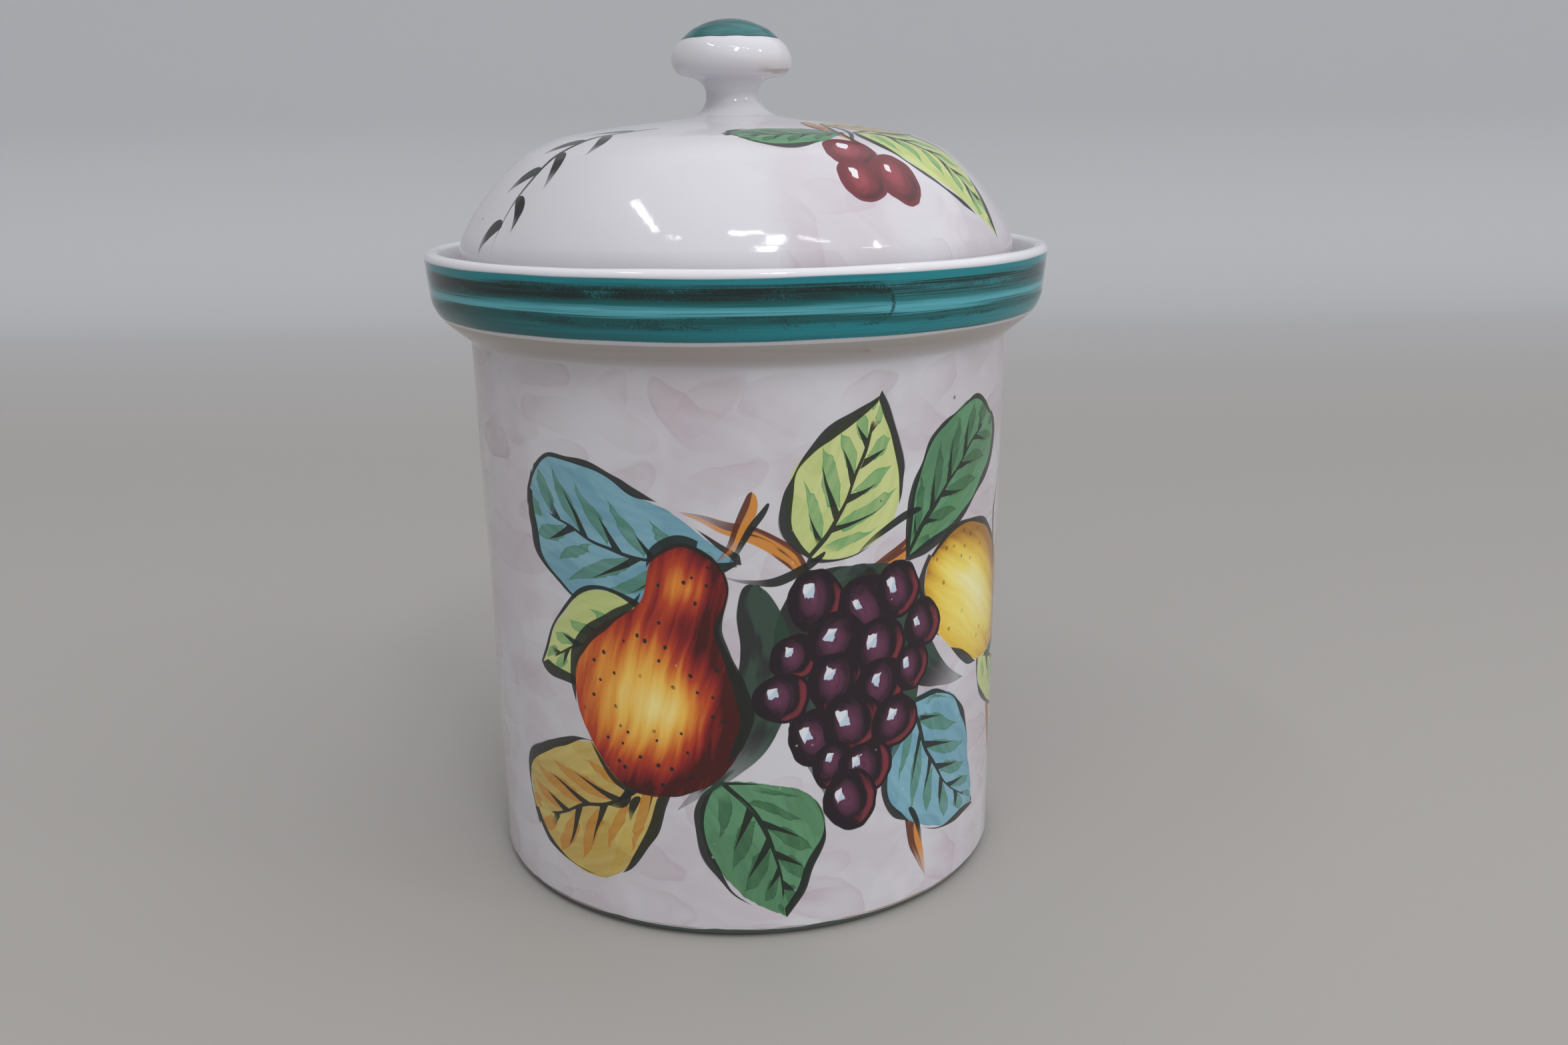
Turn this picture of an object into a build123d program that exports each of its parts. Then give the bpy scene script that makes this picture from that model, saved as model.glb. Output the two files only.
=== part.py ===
"""Lidded storage crock in glazed earthenware, in millimetres.

The jar stands on its foot ring on the plane Z = 0, with its axis on Z. The domed lid sits on a
gallery inside the jar's collar, and a mushroom knob is luted to the crown of the lid. Each piece
is drawn as a half section in radius and height, and turned about Z as on a potter's wheel.
"""
import os
from math import sqrt

from build123d import *

# Jar: the lip sets the height and the width, and the wall stands in from it
lip_radius = 112.2
lip_height = 228.5
lip_thickness = 5.4
lip_round_share = 0.48
collar_overhang = 14.5
collar_height = 31.7
collar_band_height = 21.1
collar_lean = 2.1
collar_corner_round = 12.0
collar_root_round = 2.4

# Jar: the gallery inside the collar, the ledge that carries the lid
gallery_thickness = 9.2
gallery_lean = 4.2
gallery_round = 3.4
mouth_round = 1.6

# Jar: the wall, the floor and the foot ring
wall_thickness = 6.2
wall_taper = 2.2
floor_thickness = 8.0
floor_round = 14.0
heel_height = 2.6
heel_width = 2.9
heel_round = 2.2
foot_width = 8.6
foot_recess_depth = 2.4
foot_round = 0.7

# Lid: a vertical belt, a round shoulder and a shallow crown, all of one thickness
lid_clearance = 3.0
lid_thickness = 6.0
lid_belt_height = 24.0
lid_rim_round = 14.0
lid_seat_round = 1.8
shoulder_width = 30.1
shoulder_curve_radius = 81.0
crown_rise = 41.9
crown_curve_radius = 327.0
crown_round = 42.0
ledge_round = 3.0

# Lid: the locating flange that drops into the mouth
flange_clearance = 1.8
flange_thickness = 5.0
flange_depth = 12.0
flange_round_share = 0.38
flange_root_round = 0.9

# Knob, and the low boss on the crown that it is luted to
boss_width = 10.0
boss_height = 0.45
knob_foot_width = 6.3
knob_neck_radius = 9.7
knob_waist_height = 7.75
knob_throat_width = 3.8
knob_throat_height = 4.8
knob_overhang = 11.8
knob_underside_rise = 1.9
knob_underside_round = 5.6
knob_side_height = 8.5
knob_shoulder_round = 8.0
knob_cap_rise = 10.4

# Radii that follow from the sizes above
wall_top_radius = lip_radius - collar_overhang
wall_base_radius = wall_top_radius - wall_taper
mouth_radius = wall_top_radius - wall_thickness
floor_radius = wall_base_radius - wall_thickness
foot_outer_radius = wall_base_radius - heel_width
foot_inner_radius = foot_outer_radius - foot_width
lip_inner_radius = lip_radius - lip_thickness
gallery_radius = lip_inner_radius - gallery_lean
lid_radius = gallery_radius - lid_clearance
shoulder_radius = lid_radius - shoulder_width
flange_radius = mouth_radius - flange_clearance
flange_inner_radius = flange_radius - flange_thickness
knob_foot_radius = knob_neck_radius + knob_foot_width
knob_head_radius = knob_neck_radius + knob_overhang
boss_radius = knob_foot_radius + boss_width

# Heights that follow from the sizes above
collar_root_height = lip_height - collar_height
collar_corner_height = lip_height - collar_band_height
gallery_height = collar_root_height + gallery_thickness
flange_bottom = gallery_height - flange_depth
rim_height = gallery_height + lid_belt_height
crown_height = rim_height + crown_rise
joint_height = crown_height + boss_height
waist_height = joint_height + knob_waist_height
throat_height = waist_height + knob_throat_height
head_bottom = throat_height + knob_underside_rise
cap_edge_height = head_bottom + knob_side_height
knob_top = cap_edge_height + knob_cap_rise


def turned(section):
    """The solid of a half section in radius and height, turned through a full circle about Z."""
    return revolve(Plane.XZ * section, Axis.Z)


def rounded(section, corners):
    """The section with its corners rounded, each corner by a radius of its own."""
    for place, radius in corners:
        corner = section.vertices().sort_by_distance(Vector(*place))[0]
        section = fillet(corner, radius)
    return section


def arc_drop(curve_radius, distance):
    """How far an arc with its top on the axis has dropped at a distance from the axis."""
    return curve_radius - sqrt(curve_radius**2 - distance**2)


def block(inner_radius, outer_radius, bottom, top):
    """A rectangle of the half section."""
    width = outer_radius - inner_radius
    height = top - bottom
    return Pos(inner_radius, bottom) * Rectangle(width, height, align=(Align.MIN, Align.MIN))


def jar():
    """The vessel: foot ring, floor, tapering wall, and the flared collar with its gallery."""
    foot_recess = (foot_inner_radius, foot_recess_depth)
    foot_inner = (foot_inner_radius, 0)
    foot_outer = (foot_outer_radius, 0)
    heel = (wall_base_radius, heel_height)
    collar_root = (wall_top_radius, collar_root_height)
    collar_corner = (lip_radius - collar_lean, collar_corner_height)
    lip_outer = (lip_radius, lip_height)
    lip_inner = (lip_inner_radius, lip_height)
    gallery_corner = (gallery_radius, gallery_height)
    mouth = (mouth_radius, gallery_height)
    floor_corner = (floor_radius, floor_thickness)
    lip_round = lip_thickness * lip_round_share
    outline = Polyline(
        (0, foot_recess_depth),
        foot_recess,
        foot_inner,
        foot_outer,
        heel,
        collar_root,
        collar_corner,
        lip_outer,
        lip_inner,
        gallery_corner,
        mouth,
        floor_corner,
        (0, floor_thickness),
        close=True,
    )
    corners = [
        (foot_recess, foot_round),
        (foot_inner, foot_round),
        (foot_outer, foot_round),
        (heel, heel_round),
        (collar_root, collar_root_round),
        (collar_corner, collar_corner_round),
        (lip_outer, lip_round),
        (lip_inner, lip_round),
        (gallery_corner, gallery_round),
        (mouth, mouth_round),
        (floor_corner, floor_round),
    ]
    return turned(rounded(make_face(outline), corners))


def dome_section():
    """Half of the dome as if it were solid: crown arc, shoulder arc and belt, down to the seat."""
    top = (0, crown_height)
    crown_middle = shoulder_radius / 2
    middle = (crown_middle, crown_height - arc_drop(crown_curve_radius, crown_middle))
    shoulder = (shoulder_radius, crown_height - arc_drop(crown_curve_radius, shoulder_radius))
    rim = (lid_radius, rim_height)
    crown_arc = ThreePointArc(top, middle, shoulder)
    shoulder_arc = RadiusArc(shoulder, rim, shoulder_curve_radius)
    belt_and_base = Polyline(rim, (lid_radius, gallery_height), (0, gallery_height), top)
    face = make_face([crown_arc, shoulder_arc, belt_and_base])
    return rounded(face, [(shoulder, crown_round), (rim, lid_rim_round)])


def boss_flare():
    """The arc that leaves the crown smoothly and flares up to the foot of the knob."""
    crown_place = (boss_radius, crown_height - arc_drop(crown_curve_radius, boss_radius))
    knob_foot = (knob_foot_radius, joint_height)
    crown_slope = boss_radius / sqrt(crown_curve_radius**2 - boss_radius**2)
    return TangentArc(crown_place, knob_foot, tangent=(-1, crown_slope))


def boss_section():
    """The low boss on the crown, from the flare down into the thickness of the crown."""
    flare = boss_flare()
    crown_place = flare @ 0
    knob_foot = flare @ 1
    inside = crown_height - lid_thickness
    rest = Polyline(knob_foot, (0, joint_height), (0, inside), (boss_radius, inside), crown_place)
    return make_face([flare, rest])


def lid():
    """The lid: a hollow dome with its boss, the seat, and the flange that centres it in the mouth."""
    ledge_height = gallery_height + lid_thickness
    flange_round = flange_thickness * flange_round_share
    dome = dome_section()
    hollow = offset(dome + mirror(dome, Plane.YZ), -lid_thickness)
    opening = block(0, flange_inner_radius, gallery_height, ledge_height)
    flange = block(flange_inner_radius, flange_radius, flange_bottom, ledge_height)
    section = dome - hollow - opening + flange + boss_section()
    corners = [
        ((lid_radius, gallery_height), lid_seat_round),
        ((lid_radius - lid_thickness, ledge_height), ledge_round),
        ((flange_radius, gallery_height), flange_root_round),
        ((flange_radius, flange_bottom), flange_round),
        ((flange_inner_radius, flange_bottom), flange_round),
        ((flange_inner_radius, ledge_height), ledge_round),
    ]
    return turned(rounded(section, corners))


def lid_knob():
    """The knob: a spreading foot, a narrow neck and a mushroom head."""
    foot = (knob_foot_radius, joint_height)
    waist = (knob_neck_radius, waist_height)
    throat = (knob_neck_radius + knob_throat_width, throat_height)
    head_edge = (knob_head_radius, head_bottom)
    cap_edge = (knob_head_radius, cap_edge_height)
    top = (0, knob_top)
    cap_curve_radius = (knob_head_radius**2 + knob_cap_rise**2) / (2 * knob_cap_rise)
    foot_arc = TangentArc(waist, foot, tangent=(0, -1))
    throat_arc = TangentArc(waist, throat, tangent=(0, 1))
    side = Polyline(throat, head_edge, cap_edge)
    cap = RadiusArc(cap_edge, top, -cap_curve_radius)
    base = Polyline(top, (0, joint_height), foot)
    face = make_face([foot_arc, throat_arc, side, cap, base])
    corners = [(head_edge, knob_underside_round), (cap_edge, knob_shoulder_round)]
    return turned(rounded(face, corners))


pieces = {"jar": jar(), "lid": lid(), "lid_knob": lid_knob()}

os.makedirs("parts", exist_ok=True)
for name, piece in pieces.items():
    export_step(piece, f"parts/{name}.step")
    print(name, "volume", round(piece.volume), "mm3, valid", piece.is_valid)
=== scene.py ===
# %% [markdown]
# A lidded storage crock in tin-glazed earthenware, painted by hand with fruit and leaves.
#
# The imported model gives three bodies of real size: the jar, the lid, and the knob on the lid. This
# script keeps their place and size, and turns a finer shell for each one, as a potter would, with the
# small unevenness of hand work. Then it mixes the glazes and paints the pot with shader nodes.

# %% Load the frame
from math import asin, atan2, cos, hypot, pi, radians, sin, sqrt, tan
from types import SimpleNamespace

import bmesh
import bpy
from mathutils import Euler, Matrix, Vector

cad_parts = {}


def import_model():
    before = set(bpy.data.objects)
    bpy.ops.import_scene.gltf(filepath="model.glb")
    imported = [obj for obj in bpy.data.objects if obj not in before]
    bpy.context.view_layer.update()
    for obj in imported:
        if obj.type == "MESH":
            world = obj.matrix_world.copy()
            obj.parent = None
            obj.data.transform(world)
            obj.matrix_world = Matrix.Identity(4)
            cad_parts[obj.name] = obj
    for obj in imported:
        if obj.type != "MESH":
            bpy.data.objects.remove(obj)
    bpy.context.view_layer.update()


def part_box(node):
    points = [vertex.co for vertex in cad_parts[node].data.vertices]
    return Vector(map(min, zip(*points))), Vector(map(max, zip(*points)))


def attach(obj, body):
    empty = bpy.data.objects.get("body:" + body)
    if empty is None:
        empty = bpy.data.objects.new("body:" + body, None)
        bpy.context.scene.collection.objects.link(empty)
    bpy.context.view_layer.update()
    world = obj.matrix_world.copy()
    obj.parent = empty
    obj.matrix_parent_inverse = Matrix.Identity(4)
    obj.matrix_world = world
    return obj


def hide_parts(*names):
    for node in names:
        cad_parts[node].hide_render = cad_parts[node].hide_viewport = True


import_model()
mm = 0.001

# %% [markdown]
# A pot is its half section, turned. The sizes below are those of the real crock in metres. The
# heights of the lip and the knob's top come from the frame, so the shells sit where the frame's
# bodies are, and the other heights are measured from those.

# %% Sizes of the jar
lip_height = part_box("jar")[1].z
lip_radius = 112.2 * mm
lip_inner_radius = 106.8 * mm
lip_round = 2.6 * mm
collar_corner = (110.1 * mm, lip_height - 21.1 * mm)
collar_corner_round = 12 * mm
collar_root = (97.7 * mm, lip_height - 31.7 * mm)
collar_root_round = 2.4 * mm
gallery_height = lip_height - 22.5 * mm
gallery_radius = 102.6 * mm
gallery_round = 3.4 * mm
mouth_radius = 91.5 * mm
mouth_round = 1.6 * mm
heel = (95.5 * mm, 2.6 * mm)
heel_round = 2.2 * mm
foot_outer_radius = 92.6 * mm
foot_inner_radius = 84 * mm
foot_round = 0.7 * mm
foot_recess = 2.4 * mm
floor_radius = 89.3 * mm
floor_height = 8 * mm
floor_round = 14 * mm
print("jar: lip at", round(lip_height / mm, 1), "mm, wall radius", round(collar_root[0] / mm, 1), "mm")

# %% Sizes of the lid and the knob
lid_thickness = 6 * mm
lid_radius = 99.6 * mm
seat_round = 1.8 * mm
rim_round = 14 * mm
crown_height = gallery_height + 65.9 * mm
crown_curve = 327 * mm
shoulder_middle = (26.05 * mm, gallery_height - 10 * mm)
shoulder_curve = 81 * mm
shoulder_round = 42 * mm
flange_radius = 89.7 * mm
flange_inner_radius = 84.7 * mm
flange_depth = 12 * mm
flange_round = 1.9 * mm
ledge_height = gallery_height + lid_thickness
ledge_round = 3 * mm
boss_radius = 26 * mm
joint_height = crown_height + 0.45 * mm
knob_foot_radius = 16 * mm
knob_waist = (9.7 * mm, joint_height + 7.75 * mm)
knob_throat = (13.5 * mm, knob_waist[1] + 4.8 * mm)
knob_radius = 21.5 * mm
knob_head_bottom = knob_throat[1] + 1.9 * mm
knob_underside_round = 5.6 * mm
knob_cap_edge = knob_head_bottom + 8.5 * mm
knob_shoulder_round = 8 * mm
knob_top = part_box("lid_knob")[1].z
print("lid: crown at", round(crown_height / mm, 1), "mm; knob top", round(knob_top / mm, 1), "mm")

# %% [markdown]
# To draw a half section by hand in Blender, start from one point and extrude it from corner to
# corner. A vertex bevel then rounds each corner, as a fillet does, and subdividing the long runs
# gives the wall enough rings to be uneven later. The curved stretches of the lid come from the
# formula of a circle, because a dome that is nearly a plane shows every flat spot in its gloss.


# %% Draw a half section
def circle_height(middle, curve, radius):
    """Height of a circle's upper half at a distance from the pot's axis."""
    return middle[1] + sqrt(curve**2 - (radius - middle[0]) ** 2)


def circle_run(middle, curve, start, end, count):
    """Points of a circle's upper half between two distances from the axis, evenly turned."""
    first = asin((start - middle[0]) / curve)
    turn = asin((end - middle[0]) / curve) - first
    places = [first + turn * step / count for step in range(count + 1)]
    return [(middle[0] + curve * sin(a), middle[1] + curve * cos(a), 0) for a in places]


def select_points(mesh, place, reach):
    """Select only the points of an edited mesh that lie within reach of a place."""
    bpy.ops.mesh.select_all(action="DESELECT")
    for point in mesh.verts:
        point.select = (point.co - Vector(place)).length < reach
    mesh.select_flush_mode()


def bevel_offset(before, corner, after, corner_round):
    """How far from a corner a round of that radius starts."""
    back = Vector(before[:2]) - Vector(corner[:2])
    onward = Vector(after[:2]) - Vector(corner[:2])
    return corner_round / tan(back.angle(onward) / 2)


def draw_section(name, corners, longest_run):
    """A wire in the plane Y = 0 through corners of (radius, height, round), with even short runs."""
    bpy.ops.object.select_all(action="DESELECT")
    bpy.ops.mesh.primitive_plane_add(size=mm)
    piece = bpy.context.object
    piece.name = name
    bpy.ops.object.mode_set(mode="EDIT")
    bpy.ops.mesh.merge(type="CENTER")
    bpy.ops.transform.translate(value=(corners[0][0], 0, corners[0][1]))
    for before, corner in zip(corners, corners[1:]):
        step = (corner[0] - before[0], 0, corner[1] - before[1])
        bpy.ops.mesh.extrude_region_move(TRANSFORM_OT_translate={"value": step})
    mesh = bmesh.from_edit_mesh(piece.data)
    for before, corner, after in zip(corners, corners[1:], corners[2:]):
        if corner[2]:
            select_points(mesh, (corner[0], 0, corner[1]), 0.01 * mm)
            offset = bevel_offset(before, corner, after, corner[2])
            bpy.ops.mesh.bevel(offset_type="OFFSET", offset=offset, segments=8, affect="VERTICES")
            mesh = bmesh.from_edit_mesh(piece.data)
    for cuts in sorted({int(run.calc_length() / longest_run) for run in mesh.edges} - {0}):
        bpy.ops.mesh.select_all(action="DESELECT")
        bpy.ops.mesh.select_mode(type="EDGE")
        for run in mesh.edges:
            run.select = int(run.calc_length() / longest_run) == cuts
        bpy.ops.mesh.subdivide(number_cuts=cuts)
        mesh = bmesh.from_edit_mesh(piece.data)
    bpy.ops.mesh.select_mode(type="VERT")
    print(name, "half section of", len(mesh.verts), "points")
    return piece


# %% [markdown]
# Spin turns the wire through a full circle. The last copy falls on the first, and the points on
# the axis fall on each other, so doubles are merged, and only then are the normals made to face
# outwards. Smoothing by angle keeps the few true edges of the foot and the lid's joint.


# %% Turn a section on the wheel
edge_angle = radians(35)


def turn_on_wheel(piece, ring_points):
    """Spin the piece's wire about Z into a closed shell of smooth faces, and leave edit mode."""
    bpy.ops.mesh.select_all(action="SELECT")
    bpy.ops.mesh.spin(steps=ring_points, angle=2 * pi, center=(0, 0, 0), axis=(0, 0, 1))
    bpy.ops.mesh.select_all(action="SELECT")
    bpy.ops.mesh.remove_doubles(threshold=0.002 * mm)
    bpy.ops.mesh.normals_make_consistent(inside=False)
    bpy.ops.object.mode_set(mode="OBJECT")
    bpy.ops.object.shade_smooth_by_angle(angle=edge_angle)
    print(piece.name, "has", len(piece.data.polygons), "faces")


def soft_step(value, low, high):
    """0 below low, 1 above high, and a smooth rise between them."""
    share = min(1, max(0, (value - low) / (high - low)))
    return share * share * (3 - 2 * share)


# %% [markdown]
# Hands and kiln leave a thrown wall slightly wavy, which shows wherever a glossy glaze mirrors a
# straight edge. A Displace modifier with a cloud texture does that. Its middle level is 1, so the
# surface only sinks, never by more than its strength, and a vertex group keeps the seats true.


# %% Loosen a surface by hand
def pick(piece):
    """Make this piece the only selected one, and the active one, so that operators act on it."""
    bpy.ops.object.select_all(action="DESELECT")
    bpy.context.view_layer.objects.active = piece
    piece.select_set(True)


def loosen(piece, wave_length, depth, freedom):
    """Sink the surface unevenly by up to depth, times a freedom from 0 to 1 at each point."""
    group = piece.vertex_groups.new(name="free surface")
    for point in piece.data.vertices:
        weight = freedom(hypot(point.co.x, point.co.y), point.co.z)
        group.add([point.index], weight, "REPLACE")
    clouds = bpy.data.textures.new(piece.name + " waves", "CLOUDS")
    clouds.noise_scale = wave_length
    clouds.noise_depth = 1
    waves = piece.modifiers.new("hand waves", "DISPLACE")
    waves.texture = clouds
    waves.texture_coords = "LOCAL"
    waves.strength = depth
    waves.mid_level = 1
    waves.vertex_group = group.name
    pick(piece)
    bpy.ops.object.modifier_apply(modifier=waves.name)
    print(piece.name, "loosened by up to", round(depth / mm, 2), "mm")


# %% [markdown]
# The jar is one open shell of clay, drawn from the middle of its underside: the foot ring, the
# tapering wall, the flared collar and lip, then down the inside over the gallery to the floor.

# %% Turn the jar
jar_corners = [
    (0, foot_recess, 0),
    (foot_inner_radius, foot_recess, foot_round),
    (foot_inner_radius, 0, foot_round),
    (foot_outer_radius, 0, foot_round),
    (*heel, heel_round),
    (*collar_root, collar_root_round),
    (*collar_corner, collar_corner_round),
    (lip_radius, lip_height, lip_round),
    (lip_inner_radius, lip_height, lip_round),
    (gallery_radius, gallery_height, gallery_round),
    (mouth_radius, gallery_height, mouth_round),
    (floor_radius, floor_height, floor_round),
    (0, floor_height, 0),
]


def jar_freedom(radius, height):
    """The wall and the lip are free. The foot plane and the gallery that carries the lid are not."""
    above_foot = soft_step(height, heel[1], 5 * heel[1])
    off_gallery = soft_step(abs(height - gallery_height), 0, flange_depth)
    outside = soft_step(radius, gallery_radius + gallery_round, lip_inner_radius)
    return above_foot * max(off_gallery, outside)


jar = draw_section("crock_jar", jar_corners, longest_run=5 * mm)
turn_on_wheel(jar, ring_points=288)
loosen(jar, wave_length=45 * mm, depth=0.7 * mm, freedom=jar_freedom)

# %% [markdown]
# The lid is a shallow crown that meets a rounder shoulder, with a vertical belt below it. Its
# inside follows its outside at one thickness, so one function draws both curves, and a flange
# under it drops into the jar's mouth. The boss on the crown rises to the joint with the knob.


# %% Turn the lid
crown_gap = 8.5 * mm
shoulder_gap = 7.5 * mm
belt_gap = 2.5 * mm
flare_steps = 6


def dome_curve(inset):
    """The dome from its crown to its belt, inset from the outside. Gaps leave room for rounding."""
    crown_middle = (0, crown_height - crown_curve)
    crown = crown_curve - inset
    shoulder = shoulder_curve - inset
    apart = Vector(shoulder_middle) - Vector(crown_middle)
    along = (crown**2 - shoulder**2 + apart.length_squared) / (2 * apart.length)
    aside = sqrt(crown**2 - along**2)
    direction = apart.normalized()
    meeting = Vector(crown_middle) + along * direction + aside * Vector((direction.y, -direction.x))
    belt = lid_radius - inset
    rim_height = circle_height(shoulder_middle, shoulder, belt)
    crown_start = boss_radius if inset == 0 else 0
    curve = circle_run(crown_middle, crown, crown_start, meeting.x - crown_gap, count=10)
    curve += [(meeting.x, meeting.y, shoulder_round - inset)]
    curve += circle_run(shoulder_middle, shoulder, meeting.x + shoulder_gap, belt - belt_gap, count=8)
    return curve + [(belt, rim_height, rim_round - inset)]


def boss_flare():
    """The flare of clay that leaves the crown smoothly and rises to the foot of the knob."""
    low = circle_height((0, crown_height - crown_curve), crown_curve, boss_radius)
    shares = [step / flare_steps for step in range(1, flare_steps)]
    rise = joint_height - low
    width = boss_radius - knob_foot_radius
    crown_share = (boss_radius / crown_curve) * width / rise
    heights = [low + rise * (crown_share * share + (1 - crown_share) * share**2) for share in shares]
    return [(boss_radius - width * share, height, 0) for share, height in zip(shares, heights)]


lid_corners = [(0, joint_height, 0), (knob_foot_radius, joint_height, 0)]
lid_corners += reversed(boss_flare())
lid_corners += dome_curve(0)
lid_corners += [
    (lid_radius, gallery_height, seat_round),
    (flange_radius, gallery_height, 0.9 * mm),
    (flange_radius, gallery_height - flange_depth, flange_round),
    (flange_inner_radius, gallery_height - flange_depth, flange_round),
    (flange_inner_radius, ledge_height, ledge_round),
    (lid_radius - lid_thickness, ledge_height, ledge_round),
]
lid_corners += reversed(dome_curve(lid_thickness))


def lid_freedom(radius, height):
    """The dome is free. The joint with the knob, the belt's seat and the flange are not."""
    off_joint = soft_step(radius, knob_foot_radius, 2 * boss_radius)
    off_seat = soft_step(height, ledge_height, ledge_height + 15 * mm)
    return off_joint * off_seat


lid = draw_section("crock_lid", lid_corners, longest_run=4 * mm)
turn_on_wheel(lid, ring_points=256)
loosen(lid, wave_length=50 * mm, depth=0.6 * mm, freedom=lid_freedom)

# %% [markdown]
# The knob is a small turned form of its own: a spreading foot, a waist, and a mushroom head. It is
# luted to the lid by hand, so its head leans a little, which a soft shift of its upper rings gives.


# %% Turn the knob
cap_gap = 7.5 * mm


def curve_from_waist(end, count):
    """An arc that leaves the waist upright and ends at a wider point above or below it."""
    out = end[0] - knob_waist[0]
    rise = end[1] - knob_waist[1]
    curve = (out**2 + rise**2) / (2 * out)
    turn = asin(abs(rise) / curve)
    up = curve if rise > 0 else -curve
    angles = [turn * step / count for step in range(count + 1)]
    return [(knob_waist[0] + curve * (1 - cos(a)), knob_waist[1] + up * sin(a), 0) for a in angles]


def knob_cap(count):
    """The head's spherical cap, from its edge to the top on the axis."""
    rise = knob_top - knob_cap_edge
    curve = (knob_radius**2 + rise**2) / (2 * rise)
    run = circle_run((0, knob_top - curve), curve, 0, knob_radius - cap_gap, count)
    return [(knob_radius, knob_cap_edge, knob_shoulder_round)] + run[::-1]


knob_skirt = (knob_foot_radius + 0.8 * mm, joint_height - 0.19 * mm)
knob_corners = [(0, knob_skirt[1], 0), (*knob_skirt, 0)]
knob_corners += curve_from_waist((knob_foot_radius, joint_height), count=24)[::-1]
knob_corners += curve_from_waist(knob_throat, count=8)[1:]
knob_corners += [(knob_radius, knob_head_bottom, knob_underside_round)]
knob_corners += knob_cap(count=8)
knob = draw_section("crock_knob", knob_corners, longest_run=1.5 * mm)
turn_on_wheel(knob, ring_points=160)


# %% Lean the knob's head
def lean_head(piece, shift, tilt):
    """Shift the head sideways and lower one side of it, less and less towards the foot."""
    for point in piece.data.vertices:
        height_share = soft_step(point.co.z, joint_height, knob_waist[1] + 2 * mm)
        point.co.x += shift * height_share
        point.co.z -= max(0, tilt * point.co.x) * height_share


lean_head(knob, shift=-0.9 * mm, tilt=0.02)


def knob_freedom(radius, height):
    """The neck and the head are free. The ring at the joint is not, so it meets the lid."""
    return soft_step(height, joint_height, knob_waist[1])


loosen(knob, wave_length=16 * mm, depth=0.5 * mm, freedom=knob_freedom)

# %% [markdown]
# The pot is painted with shader nodes, so the strokes stay sharp at any distance and nothing is
# read from an image. Long formulas are hard to follow as nodes placed one by one, so a small class
# stands for a socket: plain arithmetic on it adds the Math nodes. Numbers in these formulas are
# millimetres on the pot's surface, or shares from 0 to 1.


# %% Arithmetic on shader sockets
def plug(tree, value, entry):
    """Link a field into a socket, or set a plain number, place or colour there."""
    if isinstance(value, Field):
        tree.links.new(value.socket, entry)
    else:
        entry.default_value = (*value, 1) if entry.type == "RGBA" else value


def calculate(tree, operation, *values):
    """One Math node on fields and numbers."""
    node = tree.nodes.new("ShaderNodeMath")
    node.operation = operation
    for value, entry in zip(values, node.inputs):
        plug(tree, value, entry)
    return Field(tree, node.outputs[0])


def sign(operation):
    """The two methods that Python calls for a sign: one for a field before it, one for after it."""
    def before(field, other):
        return calculate(field.tree, operation, field, other)

    def after(field, other):
        return calculate(field.tree, operation, other, field)

    return before, after


class Field:
    """A value that changes over the surface. Arithmetic on it adds Math nodes to its tree."""

    def __init__(self, tree, socket):
        self.tree = tree
        self.socket = socket

    def __abs__(self):
        return calculate(self.tree, "ABSOLUTE", self)

    __add__, __radd__ = sign("ADD")
    __sub__, __rsub__ = sign("SUBTRACT")
    __mul__, __rmul__ = sign("MULTIPLY")
    __truediv__, __rtruediv__ = sign("DIVIDE")
    __pow__, __rpow__ = sign("POWER")


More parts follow.
